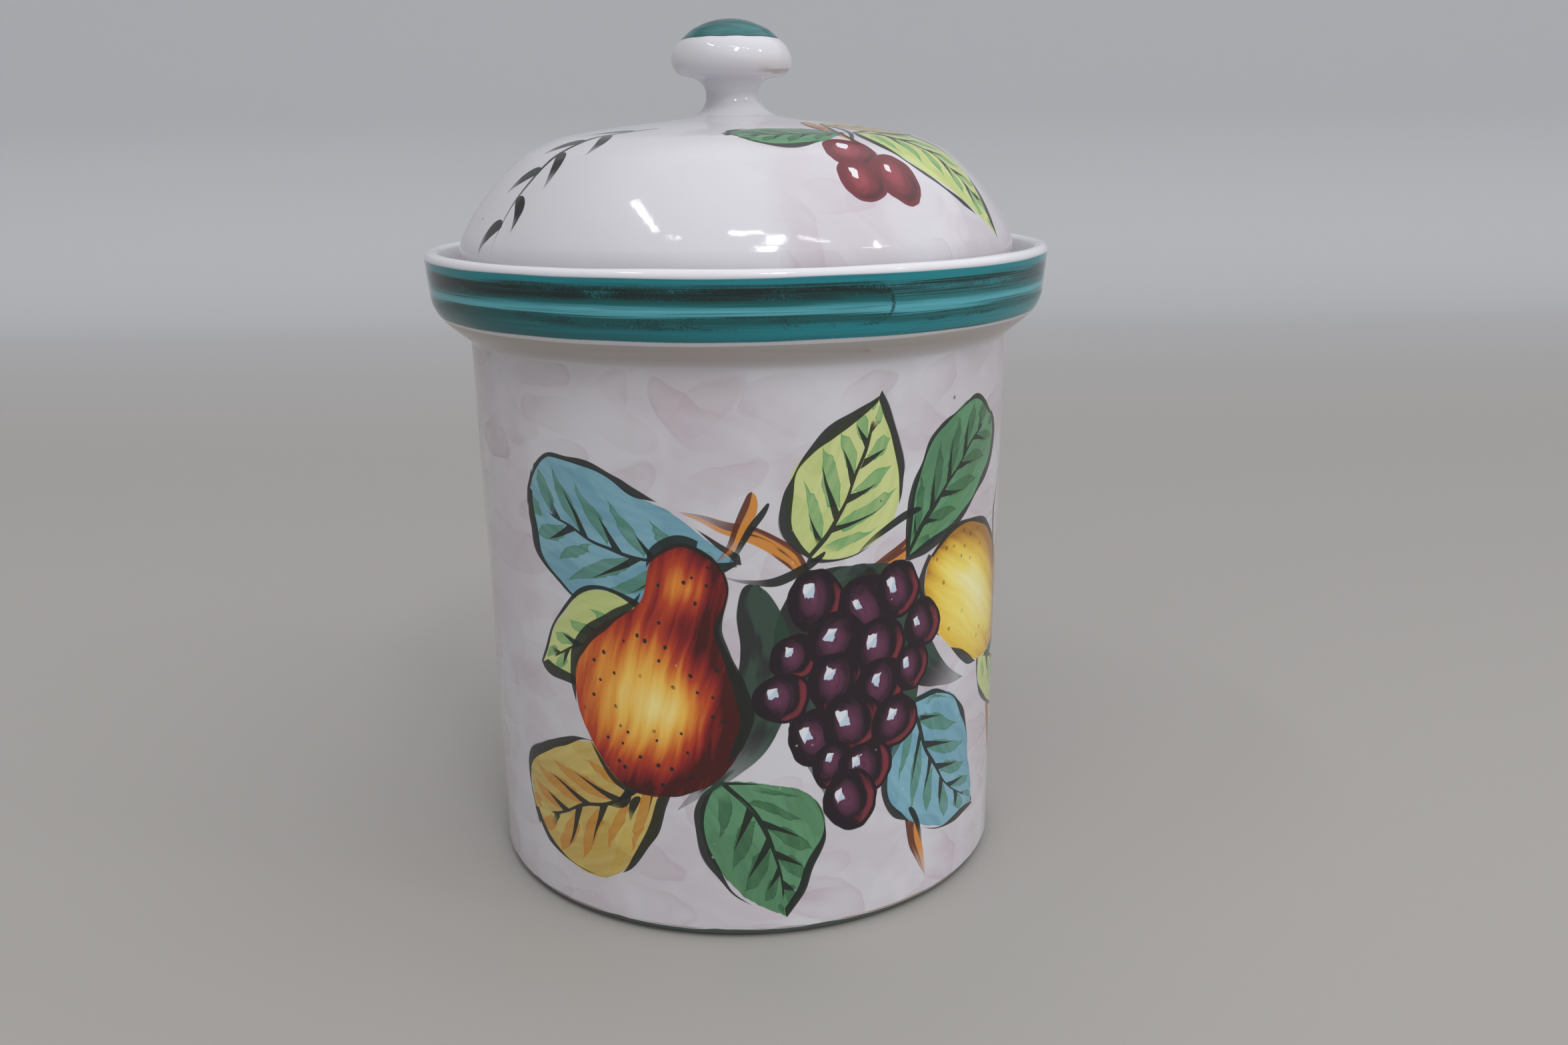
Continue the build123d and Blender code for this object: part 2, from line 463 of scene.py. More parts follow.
class Nodes:
    """Adds nodes to one tree and hands their outputs back as fields."""

    def __init__(self, tree):
        self.tree = tree

    def add(self, kind, inputs, **settings):
        """A node with inputs by name or number, and its outputs in a list."""
        node = self.tree.nodes.new("ShaderNode" + kind)
        for name, value in settings.items():
            setattr(node, name, value)
        for name, value in inputs.items():
            plug(self.tree, value, node.inputs[name])
        return [Field(self.tree, output) for output in node.outputs]

    def math(self, operation, *values):
        return calculate(self.tree, operation, *values)

    def smooth(self, value, low, high):
        """0 at low, 1 at high and beyond, with a smooth rise. Low may be the larger one."""
        limits = {"Value": value, "From Min": low, "From Max": high}
        return self.add("MapRange", limits, interpolation_type="SMOOTHSTEP")[0]

    def between(self, value, start, full, fading, end):
        """1 from full to fading, 0 before start and after end, and smooth slopes."""
        return self.smooth(value, start, full) * self.smooth(value, end, fading)

    def clamp(self, value, low=0.0, high=1.0):
        return self.add("Clamp", {"Value": value, "Min": low, "Max": high})[0]

    def combine(self, x, y, z=0.0):
        return self.add("CombineXYZ", {"X": x, "Y": y, "Z": z})[0]

    def separate(self, place):
        return self.add("SeparateXYZ", {0: place})

    def vector(self, operation, first, second):
        return self.add("VectorMath", {0: first, 1: second}, operation=operation)[0]

    def turn(self, place, angle):
        turned = {"Vector": place, "Angle": angle}
        return self.add("VectorRotate", turned, rotation_type="Z_AXIS")[0]

    def noise(self, place, scale, detail=1, dimensions="3D"):
        look = {"Vector": place, "Scale": scale, "Detail": detail}
        return self.add("TexNoise", look, noise_dimensions=dimensions)[0]

    def drift(self, x, y, *z, scale=1, detail=1):
        """Noise at coordinates that are stretched one by one: two on a surface, three in space."""
        return self.noise(self.combine(x, y, *z), scale, detail, "3D" if z else "2D")

    def cells(self, place, dimensions="2D", randomness=1):
        """Scattered cells: how far their middles are, where these are, and two chances of a cell."""
        look = {"Vector": place, "Scale": 1, "Randomness": randomness}
        distance, colour, middle, *_ = self.add("TexVoronoi", look, voronoi_dimensions=dimensions)
        luck, second_luck, _ = self.separate(colour)
        return distance, middle, luck, second_luck

    def chance(self, number):
        """A random share from 0 to 1 that belongs to a whole number."""
        return self.add("TexWhiteNoise", {"W": number}, noise_dimensions="1D")[0]

    def mix(self, under, over, share):
        """One colour laid over another. A Mix node has its colours at 6 and 7, and 2 puts them out."""
        return self.add("Mix", {0: share, 6: under, 7: over}, data_type="RGBA")[2]

    def ramp(self, value, stops):
        """Colours that change along a value, from stops of (share, colour)."""
        node = self.tree.nodes.new("ShaderNodeValToRGB")
        plug(self.tree, value, node.inputs[0])
        for _ in stops[2:]:
            node.color_ramp.elements.new(0.5)
        for element, (share, colour) in zip(node.color_ramp.elements, stops):
            element.position = share
            element.color = (*colour, 1)
        return Field(self.tree, node.outputs[0])

    def coordinates(self, kind):
        """Places from the Texture Coordinate node."""
        return Field(self.tree, self.tree.nodes.new("ShaderNodeTexCoord").outputs[kind])

    def group(self, tree, **inputs):
        """A copy of a group, with its inputs by name."""
        return self.add("Group", inputs, node_tree=tree)


socket_kinds = {"colour": "NodeSocketColor", "number": "NodeSocketFloat", "place": "NodeSocketVector"}


def build_group(name, paint, *extra, gives="colour", **inputs):
    """A shader group with inputs as label=kind. Its paint function returns the outputs by label."""
    tree = bpy.data.node_groups.new(name, "ShaderNodeTree")
    for label, kind in inputs.items():
        tree.interface.new_socket(label, in_out="INPUT", socket_type=socket_kinds[kind])
    entry = tree.nodes.new("NodeGroupInput")
    given = SimpleNamespace(**{label: Field(tree, entry.outputs[label]) for label in inputs})
    outputs = paint(Nodes(tree), given, *extra)
    for label in outputs:
        tree.interface.new_socket(label, in_out="OUTPUT", socket_type=socket_kinds[gives])
    leave = tree.nodes.new("NodeGroupOutput")
    for label, value in outputs.items():
        plug(tree, value, leave.inputs[label])
    print(name, "is a group of", len(tree.nodes), "nodes")
    return tree


# %% [markdown]
# The ground of the pot is a white tin glaze. The painter washed thin pinkish dabs over it before
# anything else: each dab is dense where the brush was lifted and fades towards where it landed. A
# Voronoi texture scatters the dabs, and inside each cell the place is turned by a random angle.

# %% The washed ground
white_glaze = (0.64, 0.635, 0.67)
pink_wash = (0.50, 0.415, 0.46)
wash_layers = (
    {"size": 50, "shift": (0, 0, 0), "strength": 0.44, "lean": -0.5},
    {"size": 42, "shift": (410, 170, 0), "strength": 0.42, "lean": 2.5},
    {"size": 35, "shift": (-230, 330, 0), "strength": 0.38, "lean": -1.0},
)


def paint_wash(n, given):
    """White glaze with overlapping dabs of thin pink."""
    x, y, _ = n.separate(given.place)
    slow = n.drift(x * 0.025, y * 0.025)
    quick = n.drift(x * 0.10, y * 0.10)
    warped = n.combine(x + (slow - 0.5) * 22, y * 1.25 + (slow - 0.5) * 14 + (quick - 0.5) * 4)
    bare = 1.0
    for layer in wash_layers:
        shifted = n.vector("ADD", warped, layer["shift"])
        cell_place = n.vector("DIVIDE", shifted, (layer["size"],) * 3)
        _, middle, luck, lean = n.cells(cell_place, randomness=0.5)
        local = n.vector("SUBTRACT", cell_place, middle)
        u, v, _ = n.separate(n.turn(local, lean * 1.3 + layer["lean"]))
        v = v + u * u * (luck - 0.5) * 1.4
        far = (u * u + v * v * 4.4) ** 0.5 + (quick - 0.5) * 0.08
        dab = n.smooth(far, 0.46, 0.38 + luck * 0.055)
        load = n.smooth(u + (slow - 0.5) * 0.5, -0.44, 0.40)
        rim = n.smooth(far, 0.32, 0.43) * 0.45 + 0.75
        bare = bare * (1 - dab * load * rim * (luck * 0.6 + 0.4) * layer["strength"])
    veil = n.smooth(slow + (quick - 0.5) * 0.3, 0.34, 0.62) * 0.34
    streaks = n.drift(x * 0.035 + slow * 3, y * 0.16 + x * 0.05, detail=2)
    share = (1 - bare + veil) * (streaks * 0.7 + 0.65)
    ground = n.mix(white_glaze, pink_wash, n.clamp(share))
    return {"ground": ground}


washed_ground = build_group("washed ground", paint_wash, place="place")

# %% [markdown]
# Every painted shape has its own frame: a root on the pot, an angle, a length, and a bend of its
# middle line. In that frame a leaf or a stroke is only a width that grows and shrinks along it, and
# how deep a spot lies inside the edge follows from that width and its slope.


# %% A painted shape's own frame
def shape_frame(n, given, root_power, tip_power):
    """Places in a shape's frame: along in mm, share of length, across in mm, width and depth."""
    moved = n.vector("SUBTRACT", given.place, given.root)
    along, across, _ = n.separate(n.turn(moved, given.angle * -1))
    share = n.clamp(along / given.length, 0.003, 0.997)
    across = across - given.bend * share * (1 - share) * 4
    widest = root_power / (root_power + tip_power)
    peak = widest**root_power * (1 - widest) ** tip_power
    width = given.width * share**root_power * (1 - share) ** tip_power / peak
    slope = width * (root_power / share - tip_power / (1 - share)) / given.length
    steepness = (slope * slope + 1) ** 0.5
    past_ends = abs(along - share * given.length)
    depth = (width - abs(across)) / steepness - past_ends
    return along, share, across, width, depth


shape_inputs = {"picture": "colour", "place": "place", "root": "place"}
shape_inputs |= {label: "number" for label in ("angle", "length", "width", "bend", "seed")}
two_tones = {"light": "colour", "deep": "colour"}

# %% [markdown]
# A leaf on such a pot is quick work: a thin wash of one colour, dabs of a second colour pulled out
# along the side veins, and then black lines of uneven width that never quite follow the wash. The
# veins repeat along the leaf, so one vein is drawn in a row that repeats, and a random share for
# each row makes every vein its own length.

# %% The painted leaf
ink = (0.010, 0.015, 0.012)


def vein_rows(n, given, along, across, low_side):
    """How far a spot lies from the middle of its side vein's row, and the chance of that vein."""
    place = along - abs(across) * 0.95 - across * across * 0.010
    place = place / given.spacing + low_side * 0.47
    row = n.math("FLOOR", place)
    return place - row - 0.5, n.chance(row + given.seed + low_side * 37)


def paint_leaf(n, given, root_power, tip_power):
    """A leaf of wash, dabs and ink, laid over the picture."""
    along, share, across, width, depth = shape_frame(n, given, root_power, tip_power)
    seed = given.seed
    low_side = n.smooth(across, 0.02, -0.02)
    reach = n.clamp(abs(across) / (width + 0.01))
    hand = n.drift(along * 0.030 + seed, low_side * 7)
    brush = n.drift(along * 0.045 + seed, across * 0.36, detail=2)
    pools = n.drift(along * 0.036 - seed, across * 0.045)
    off_vein, luck = vein_rows(n, given, along, across, low_side)

    filled = n.smooth(depth + (brush - 0.5) * 1.2, -0.20, 0.25)
    tone = n.smooth(pools, 0.50, 0.535) * 0.42 + n.smooth(brush, 0.30, 0.75) * 0.38
    tone = n.clamp(tone + n.smooth(depth, 0.8, 0.1) * 0.3)
    wash = n.mix(given.light, given.deep, tone)
    picture = n.mix(given.picture, wash, filled * 0.95)

    dab_width = n.between(reach, 0.0, 0.30, 0.36, luck * 0.30 + 0.68) * (luck * 0.16 + 0.26)
    margin = dab_width - abs(off_vein + (brush - 0.5) * 0.22 - 0.20)
    dabbed = n.smooth(margin, -0.01, 0.025) * n.smooth(share, 0.06, 0.16)
    wet = n.smooth(margin, 0.09, 0.01) * 0.22 + brush * 0.5 + 0.42
    dabbed = dabbed * n.smooth(depth, 0.3, 1.2) * wet
    picture = n.mix(picture, given.dab, n.clamp(dabbed))

    line = given.line
    press = n.smooth(hand, 0.34, 0.66)
    off_edge = abs(depth + (low_side - 0.5) * 1.2 + (pools - 0.5) * 3.6)
    edge_line = n.smooth(line * (press * 1.75 - 0.22) - off_edge, -0.10, 0.14)
    edge_line = edge_line * n.smooth(depth, -2.6, -1.8) * n.smooth(width - abs(across), -4.5, -2.5)
    off_rib = abs(across + (pools - 0.5) * 3)
    rib = n.smooth(line * ((1 - share) * 0.55 + 0.22) * (press * 0.7 + 0.6) - off_rib, -0.08, 0.12)
    rib = rib * n.smooth(share, 0.88, 0.84) * n.smooth(along, -1, 0.5)
    vein_width = line * 1.05 * (1 - reach / (luck * 0.36 + 0.34))
    vein = n.smooth(vein_width - abs(off_vein) * given.spacing * 0.70, -0.08, 0.12)
    vein = vein * n.between(share, 0.08, 0.14, 0.82, 0.90) * n.smooth(luck, 0.06, 0.08)
    inked = n.clamp(edge_line + rib + vein * n.smooth(depth, 0.4, 1.2))
    picture = n.mix(picture, ink, inked * 0.96)
    return {"picture": picture}


leaf_inputs = {**two_tones, "dab": "colour", "spacing": "number", "line": "number"}
pointed_leaf = build_group("pointed leaf", paint_leaf, 0.7, 1.0, **shape_inputs, **leaf_inputs)
round_leaf = build_group("round leaf", paint_leaf, 0.85, 0.52, **shape_inputs, **leaf_inputs)

# %% [markdown]
# Twigs, tendrils and shadows are single strokes: full where the brush lands, pointed where it
# leaves, with the bristles' streaks along it.


# %% The brush stroke
def paint_stroke(n, given):
    """One stroke from a loaded brush, light on one side and deep on the other."""
    along, share, across, width, depth = shape_frame(n, given, 0.4, 0.9)
    sideways = across / (width + 0.3)
    streak = n.drift(along * 0.05 + given.seed, sideways * 1.5, detail=2)
    loaded = n.smooth(depth + (streak - 0.5) * 0.9, -0.1, 0.18)
    dry = n.smooth(streak, 0.30, 0.42) * n.smooth(share, 0.55, 0.95)
    colour = n.mix(given.light, given.deep, n.smooth(streak - sideways * 0.22, 0.44, 0.60))
    picture = n.mix(given.picture, colour, loaded * (0.97 - dry * 0.5))
    return {"picture": picture}


brush_stroke = build_group("brush stroke", paint_stroke, **shape_inputs, **two_tones)

# %% [markdown]
# Fruit is painted round: dark at the rim, lighter towards the side that faces the light, with the
# strokes bent along the form, and one hard window of light on the shiny ones.


# %% The painted berry
def paint_berry(n, given):
    """One dark berry with a glow, a reddish crescent and a small window of light."""
    moved = n.vector("SUBTRACT", given.place, given.centre)
    x, y, _ = n.separate(n.turn(moved, n.math("SINE", given.seed * 5) * 0.35))
    x = x / given.radius
    y = y / given.radius
    wobble = n.drift(x + given.seed * 9, y, scale=1.3)
    far = (x * x + y * y) ** 0.5 + (wobble - 0.5) * 0.18
    body = n.smooth(far, 1.035, 1.0)
    glow_x = x + 0.10
    glow_y = y - 0.06
    glow_far = (glow_x * glow_x * 1.7 + glow_y * glow_y) ** 0.5
    streak = n.drift(x * 3.2 + given.seed * 5, glow_far * 5, detail=2)
    glow = n.smooth(glow_far + (streak - 0.5) * 0.55, 0.80, 0.20)
    right_side = n.smooth(x - y * 0.6 + (streak - 0.5), 0.2, 0.8)
    crescent = n.between(far, 0.60, 0.74, 0.84, 0.93) * right_side
    pane = wobble * 0.30 + 0.08
    window = n.math("MAXIMUM", abs(x + 0.28) * 1.35, abs(y - 0.26))
    lit = n.smooth(window + (streak - 0.5) * 0.16, pane, pane - 0.04)
    shine = n.mix(given.shine, (0.80, 0.84, 0.88), n.smooth(x - y, -0.50, -0.62))
    picture = n.mix(given.picture, given.body, body)
    picture = n.mix(picture, given.glow, glow * body * (streak * 0.9 + 0.25))
    picture = n.mix(picture, given.rim, crescent * body * 0.75)
    picture = n.mix(picture, shine, lit * body * 0.9)
    return {"picture": picture}


berry_inputs = {"place": "place", "centre": "place", "radius": "number", "seed": "number"}
berry_inputs |= {label: "colour" for label in ("picture", "body", "glow", "shine", "rim")}
painted_berry = build_group("painted berry", paint_berry, **berry_inputs)

# %% [markdown]
# A large fruit is the same idea with its own outline. The pear's outline is two circles, a large
# and a small one, blended by a smooth maximum, and the lemon's is a spindle with a nipple. How deep
# a spot lies inside the outline gives its tone, and a colour ramp turns tones into glaze colours.


# %% The large fruits
def pear_depth(n, given):
    """Along, across and depth in a pear that hangs from its root: a small circle and a belly."""
    moved = n.vector("SUBTRACT", given.place, given.root)
    along, across, _ = n.separate(n.turn(moved, given.angle * -1))
    across = across - given.bend * n.smooth(along / given.length, 1, 0)
    belly = along - given.length * 0.645
    neck = along - given.length * 0.20
    belly_depth = given.width - (belly * belly + across * across) ** 0.5
    neck_depth = given.width * 0.46 - (neck * neck + across * across) ** 0.5
    depth = n.math("SMOOTH_MAX", belly_depth, neck_depth, given.width * 0.62)
    return along, across, depth


def lemon_depth(n, given):
    """Along, across and depth in a lemon: a spindle, with a nipple at its far end."""
    along, _, across, _, depth = shape_frame(n, given, 0.46, 0.5)
    nipple = along - given.length * 0.985
    nipple_depth = given.width * 0.24 - (nipple * nipple * 0.6 + across * across) ** 0.5
    return along, across, n.math("SMOOTH_MAX", depth, nipple_depth, given.width * 0.2)


def paint_fruit(n, given, fruit_depth, tones, freckles):
    """A large fruit in strokes along its form, with freckles of ink and an uneven outline."""
    along, across, depth = fruit_depth(n, given)
    width = given.width
    seed = given.seed
    sideways = across / width
    streak = n.drift(along * 0.030 + seed, across * 0.27, detail=3)
    patch = n.drift(along * 0.03 - seed, across * 0.05)
    filled = n.smooth(depth + (streak - 0.5) * 0.8, -0.2, 0.25)
    tone = n.clamp(depth / width * 0.92 - sideways * 0.30)
    tone = tone + (streak - 0.5) * 0.42 + (patch - 0.5) * 0.25
    picture = n.mix(given.picture, n.ramp(tone, tones), filled)
    off_spot, _, luck, _ = n.cells(n.combine(along * 0.17 + seed, across * 0.17))
    spot = n.smooth(off_spot - luck * 0.08, 0.07, 0.035) * n.smooth(luck, 0.50, 0.55)
    spot = spot * n.smooth(tone, 0.75, 0.5) * n.smooth(depth, 2, 4) * freckles
    low_side = n.smooth(across, 0.1, -0.1)
    hand = n.drift(along * 0.030 + seed, low_side * 5)
    press = n.smooth(hand, 0.34, 0.66)
    off_edge = abs(depth + (low_side - 0.5) * 1.4 + (patch - 0.5) * 3.5)
    edge_line = n.smooth(given.line * (press * 1.9 - 0.25) - off_edge, -0.10, 0.14)
    picture = n.mix(picture, ink, n.clamp(spot + edge_line) * 0.95)
    return {"picture": picture}


pear_tones = (
    (0.02, (0.060, 0.006, 0.006)),
    (0.14, (0.24, 0.014, 0.014)),
    (0.30, (0.48, 0.055, 0.016)),
    (0.46, (0.72, 0.24, 0.030)),
    (0.66, (0.86, 0.52, 0.090)),
    (0.92, (0.90, 0.74, 0.270)),
)
lemon_tones = (
    (0.02, (0.36, 0.16, 0.015)),
    (0.16, (0.60, 0.33, 0.030)),
    (0.36, (0.76, 0.52, 0.060)),
    (0.62, (0.86, 0.72, 0.160)),
    (0.92, (0.90, 0.85, 0.450)),
)
fruit_inputs = {**shape_inputs, "line": "number"}
pear = (pear_depth, pear_tones, 1.0)
lemon = (lemon_depth, lemon_tones, 0.55)
painted_pear = build_group("painted pear", paint_fruit, *pear, **fruit_inputs)
painted_lemon = build_group("painted lemon", paint_fruit, *lemon, **fruit_inputs)

# %% [markdown]
# The painting on the wall is laid on in order, as the painter did: leaves first, then twigs, then
# fruit over both, then the last thin tendrils. Places are in millimetres on the unrolled wall, to
# the right of the pot's front and up from its foot, and angles are in degrees.
#
# The renderer works out everything that is ready before it goes on, and it can hold only 255 numbers
# at once. Each shape therefore gets its place with a millionth of the picture so far added to it,
# which moves nothing that can be seen, but makes it wait for the shape before it.

# %% Colours of the painting
blue = {"light": (0.20, 0.43, 0.52), "deep": (0.11, 0.30, 0.40), "dab": (0.06, 0.20, 0.10)}
lime = {"light": (0.60, 0.66, 0.26), "deep": (0.46, 0.55, 0.17), "dab": (0.10, 0.33, 0.13)}
green = {"light": (0.09, 0.28, 0.13), "deep": (0.05, 0.18, 0.07), "dab": (0.03, 0.11, 0.045)}
ochre = {"light": (0.60, 0.47, 0.12), "deep": (0.48, 0.31, 0.06), "dab": (0.52, 0.19, 0.018)}
bark = {"light": (0.62, 0.24, 0.03), "deep": (0.12, 0.025, 0.008)}
shadow = {"light": (0.020, 0.055, 0.035), "deep": (0.008, 0.014, 0.012)}
inky = {"light": ink, "deep": ink}
grape = {
    "body": (0.014, 0.007, 0.012),
    "glow": (0.16, 0.045, 0.10),
    "rim": (0.24, 0.035, 0.05),
    "shine": (0.56, 0.68, 0.80),
}
cherry = {
    "body": (0.14, 0.014, 0.022),
    "glow": (0.34, 0.05, 0.07),
    "rim": (0.05, 0.006, 0.010),
    "shine": (0.85, 0.80, 0.82),
}


def shape(group, colours, s, z, angle, length, width, bend=0, seed=0, **more):
    """One painted shape: its group, and what the group is given."""
    given = {"root": (s, z, 0), "angle": radians(angle), "length": length, "width": width}
    return group, {**given, "bend": bend, "seed": seed, **colours, **more}


def strokes(colours, *rows):
    """Brush strokes in one colour, from rows of s, z, angle, length, width, bend and seed."""
    return [shape(brush_stroke, colours, *row) for row in rows]


def leaves(*rows):
    """Leaves from rows of kind and colours, the seven numbers of a stroke, vein spacing and line."""
    return [shape(*row[:-2], spacing=row[-2], line=row[-1]) for row in rows]


def berries(colours, rows, middle, top, radius):
    """A hanging bunch: rows of so many berries from the top down, each a little uneven."""
    bunch = []
    for row, count in enumerate(rows):
        for place in range(count):
            luck = len(bunch)
            s = middle + (place - (count - 1) / 2) * radius * 1.70 + 2.1 * sin(luck * 2.4) - row
            z = top - row * radius * 1.46 + 2.0 * cos(luck * 3.1)
            size = radius * (1 + 0.13 * sin(luck * 1.7))
            given = {"centre": (s, z, 0), "radius": size, "seed": luck, **colours}
            bunch.append((painted_berry, given))
    return bunch


def ink_sprig(s, z, angle, length, count):
    """A plain twig in ink: a stem, and leaves in single strokes on its two sides by turns."""
    arch = 5
    rows = [(s, z, angle, length, 1.2, -arch, 31)]
    for leaf in range(count):
        share = 0.12 + 0.88 * leaf / count
        side = 1 if leaf % 2 else -1
        root_s = s + length * share * cos(radians(angle))
        root_z = z + length * share * sin(radians(angle)) + arch * 4 * share * (1 - share)
        rows.append((root_s, root_z, angle + 42 * side, 21 - 9 * share, 2.6, 2 * side, 32 + leaf))
    return strokes(inky, *rows)


# %% The wall's picture
wall_branches = strokes(
    bark,
    (96, 158, 205, 96, 3.6, 6, 1),
    (20, 128, 150, 46, 3.2, -5, 2),
    (-46, 44, 226, 34, 3.4, 3, 3),
    (-42, 40, 242, 26, 2.4, 2, 4),
    (62, 40, 286, 30, 3.2, -2, 5),
    (118, 60, 290, 36, 3.0, 3, 6),
)
wall_leaves = leaves(
    (round_leaf, blue, -2, 134, 166, 80, 23, 7, 1, 13, 1.35),
    (pointed_leaf, lime, -26, 108, 197, 54, 17, -4, 2, 11, 1.15),
    (round_leaf, ochre, -26, 66, 207, 72, 25, 6, 3, 13, 1.4),
    (pointed_leaf, green, -8, 58, 292, 54, 21, 5, 4, 12, 1.3),
    (pointed_leaf, lime, 20, 134, 66, 58, 19, -5, 5, 12, 1.25),
    (round_leaf, green, 58, 130, 40, 66, 18, 6, 6, 12, 1.25),
    (pointed_leaf, blue, 60, 78, -52, 66, 22, -6, 7, 12.5, 1.3),
    (pointed_leaf, ochre, 112, 96, 12, 68, 21, 6, 8, 12, 1.3),
    (pointed_leaf, lime, 104, 84, -32, 60, 17, 5, 9, 11, 1.2),
)
wall_shadows = strokes(
    shadow,
    (38, 131, 268, 92, 30, 2, 7),
    (4, 126, 250, 84, 10, 14, 8),
    (60, 112, -48, 44, 8, -9, 9),
)
wall_fruit = [
    shape(painted_lemon, {}, 70, 128, -36, 68, 23, 2, 1, line=1.4),
    shape(painted_pear, {}, -8, 142, 250, 96, 32, -5, 2, line=1.5),
]
wall_bunch = berries(grape, (3, 4, 4, 3, 2, 1), middle=40, top=118, radius=9.8)
wall_accents = strokes(bark, (3, 158, 245, 26, 2.6, 2, 11)) + strokes(
    inky,
    (8, 154, 240, 26, 1.3, -1, 12),
    (-42, 54, 222, 12, 2.2, 2, 13),
    (-38, 52, 250, 10, 1.8, -1, 14),
    (26, 136, 190, 34, 1.6, 6, 15),
    (64, 146, 204, 30, 1.5, -3, 16),
    (120, 112, 66, 46, 1.0, 11, 17),
    (62, 38, 290, 16, 1.6, 1, 18),
)
wall_shapes = wall_branches + wall_leaves + wall_shadows + wall_fruit + wall_bunch + wall_accents
print("the wall is painted with", len(wall_shapes), "shapes")


# %% Lay the shapes on a ground
def hand_wobble(n, place, reach):
    """The place shifted a little and slowly, so that no outline is a perfect curve."""
    x, y, _ = n.separate(place)
    shift_x = (n.drift(x * 0.035, y * 0.035) - 0.5) * reach
    shift_y = (n.drift(y * 0.035 + 40, x * 0.035) - 0.5) * reach
    return n.combine(x + shift_x, y + shift_y)


def lay_shapes(n, picture, place, shapes):
    """The picture with every shape painted over it in turn."""
    for group, given in shapes:
        picture = n.group(group, picture=picture, place=place, **given)[0]
        trace = n.vector("MULTIPLY", picture, (1e-6,) * 3)
        place = n.vector("ADD", place, trace)
    return picture


wall_radius = 97
back_shift = 700


def paint_wall(n, given, shapes):
    """The jar's wall: washed ground, the shapes on it or a plain back, a brown line at the foot, and
    below it a dark green line that is the glaze's edge and painted shade where the pot meets the
    floor.
    """
    x, y, z = n.separate(given.spot)
    front = n.combine(n.math("ARCTAN2", x, y * -1) * wall_radius, z)
    picture = n.group(washed_ground, place=front)[0]
    if shapes:
        picture = lay_shapes(n, picture, hand_wobble(n, front, 5), shapes)
    else:
        back = n.combine(n.math("ARCTAN2", x * -1, y) * wall_radius + back_shift, z)
        back_ground = n.group(washed_ground, place=back)[0]
        picture = n.mix(picture, back_ground, n.smooth(y, 50, 74))
    unevenness = n.drift(x * 0.05, y * 0.05, detail=2)
    brown_line = n.smooth(abs(z + unevenness * 2 - 4.8), 0.45, 0.1) * n.smooth(unevenness, 0.42, 0.6)
    picture = n.mix(picture, (0.22, 0.12, 0.06), brown_line * 0.7)
    # Painted shade: the dark green at the foot is the glaze's green edge, widened to stand in for the
    # shadow where the pot meets the floor.
    green_edge_and_painted_shade = n.smooth(z + unevenness * 2, 4.6, 4.2)
    picture = n.mix(picture, (0.015, 0.05, 0.03), green_edge_and_painted_shade * 0.92)
    return {"picture": picture}


wall_picture = build_group("wall picture", paint_wall, wall_shapes, spot="place")
bare_wall_picture = build_group("bare wall picture", paint_wall, [], spot="place")

# %% [markdown]
# The painter turned the lid under the brush and looked down on it, so its picture is laid out as a
# map from above. Such a map squeezes what lies on the falling shoulder, so distances from the knob
# are stretched by how far the dome has dropped, and leaves keep their shape there.

# %% The lid's picture
lid_shapes = strokes(bark, (24, -26, -62, 40, 3.2, -4, 23))
lid_shapes += leaves(
    (round_leaf, green, 36, -50, 200, 40, 12, 4, 22, 9, 1.1),
    (pointed_leaf, lime, 40, -44, -8, 62, 18, 6, 21, 11, 1.2),
    (pointed_leaf, ochre, 30, -34, 42, 44, 12, -4, 27, 9, 1.1),
)
lid_shapes += strokes(inky, (30, -34, -78, 34, 1.0, 5, 25), (30, -34, -58, 38, 1.0, -5, 26))
lid_shapes += berries(cherry, (2, 1), middle=46, top=-70, radius=9)
lid_shapes += ink_sprig(s=-26, z=-40, angle=203, length=76, count=7)


def paint_dome(n, given):
    """The dome as a map from above: a painted sprig on its right, a twig in ink on its left."""
    x, y, z = n.separate(given.spot)
    radius = (x * x + y * y) ** 0.5 + 0.01
    stretch = 1 + (crown_height / mm - z) * 0.4 / radius
    place = n.combine(x * stretch, y * stretch)
    ground = n.group(washed_ground, place=place)[0]
    ground = n.mix(n.mix(white_glaze, pink_wash, 0.30), ground, 0.72)
    picture = n.mix(white_glaze, ground, n.smooth(x + y * 0.3, -22, -8) * 0.90 + 0.08)
    picture = lay_shapes(n, picture, hand_wobble(n, place, 4), lid_shapes)
    return {"picture": picture}


lid_picture = build_group("lid picture", paint_dome, spot="place")

# %% [markdown]
# The bands on the collar were pulled with a loaded brush while the pot turned: teal at both edges,
# a black-green line that broke up, and a pale stripe. Noise that is stretched far round the pot and
# very fine in height gives the wheel's streaks, and it meets itself all the way round, because it
# reads the place in space. One hook shows where the brush was lifted.

# %% The banded collar
band_stops = (
    (0.00, (0.009, 0.225, 0.265)),
    (0.10, (0.008, 0.205, 0.240)),
    (0.15, (0.002, 0.048, 0.048)),
    (0.22, (0.001, 0.026, 0.026)),
    (0.30, (0.001, 0.034, 0.034)),
    (0.36, (0.002, 0.080, 0.082)),
    (0.42, (0.003, 0.130, 0.135)),
    (0.46, (0.055, 0.310, 0.360)),
    (0.52, (0.105, 0.425, 0.490)),
    (0.58, (0.080, 0.370, 0.425)),
    (0.63, (0.003, 0.095, 0.100)),
    (0.71, (0.002, 0.088, 0.092)),
    (0.77, (0.010, 0.225, 0.260)),
    (0.88, (0.012, 0.250, 0.295)),
    (1.00, (0.010, 0.205, 0.240)),
)
band_top = lip_height / mm - 2.8
band_width = 19.2
hook_angle = 0.435


